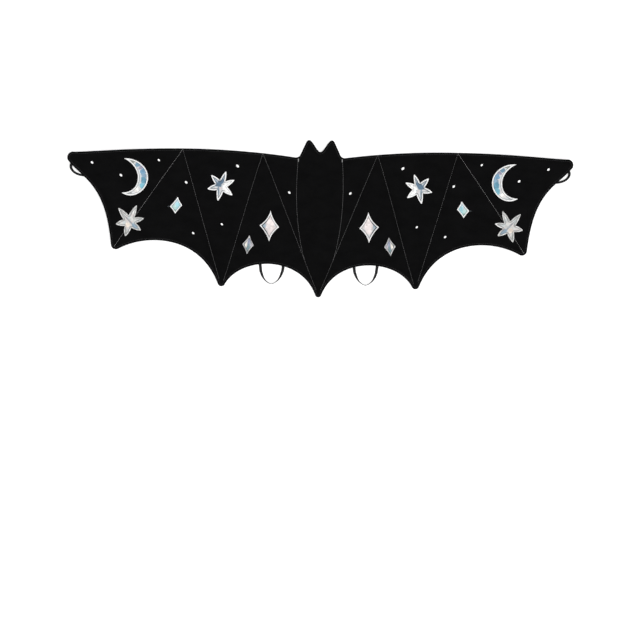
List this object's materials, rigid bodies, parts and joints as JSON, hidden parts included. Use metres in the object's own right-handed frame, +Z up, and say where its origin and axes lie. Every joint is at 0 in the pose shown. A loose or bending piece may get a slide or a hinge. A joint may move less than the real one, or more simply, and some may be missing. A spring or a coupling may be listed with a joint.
{
  "type": "bat wings",
  "caption": "Padded velvet bat wings for a child's costume, with stitched ribs, shiny moon, star and diamond patches, small embroidered dots, and elastic loops for wrists and arms.",
  "frame": {"origin": "on the surface where the wings lie, under the middle of their outline", "axes": "+X along the span to the right as seen from above, +Y towards the ears, +Z up out of the decorated front"},
  "size_m": [1.0516, 0.3269, 0.0156],
  "materials": {
    "front_velvet": "black velvet, matt, padded and stitched",
    "back_velvet": "black velvet, matt",
    "holographic_cloth": "silver cloth with a pale rainbow shine, under a stitched border",
    "light_thread": "white and silver grey thread in dense stitches",
    "black_elastic": "black woven elastic, matt"
  },
  "bodies": {
    "root": {"front_panel": "front_velvet", "back_panel": "back_velvet", "left_moon": "holographic_cloth", "left_outer_star": "holographic_cloth", "left_inner_star": "holographic_cloth", "left_large_diamond": "holographic_cloth", "left_lower_diamond": "holographic_cloth", "left_upper_diamond": "holographic_cloth", "left_dot_1": "light_thread", "left_dot_2": "light_thread", "left_dot_3": "light_thread", "left_dot_4": "light_thread", "left_dot_5": "light_thread", "left_dot_6": "light_thread", "left_dot_7": "light_thread", "left_dot_8": "light_thread", "left_wrist_loop": "black_elastic", "left_arm_loop": "black_elastic", "right_moon": "holographic_cloth", "right_outer_star": "holographic_cloth", "right_inner_star": "holographic_cloth", "right_large_diamond": "holographic_cloth", "right_lower_diamond": "holographic_cloth", "right_upper_diamond": "holographic_cloth", "right_dot_1": "light_thread", "right_dot_2": "light_thread", "right_dot_3": "light_thread", "right_dot_4": "light_thread", "right_dot_5": "light_thread", "right_dot_6": "light_thread", "right_dot_7": "light_thread", "right_dot_8": "light_thread", "right_wrist_loop": "black_elastic", "right_arm_loop": "black_elastic"}
  },
  "joints": []
}
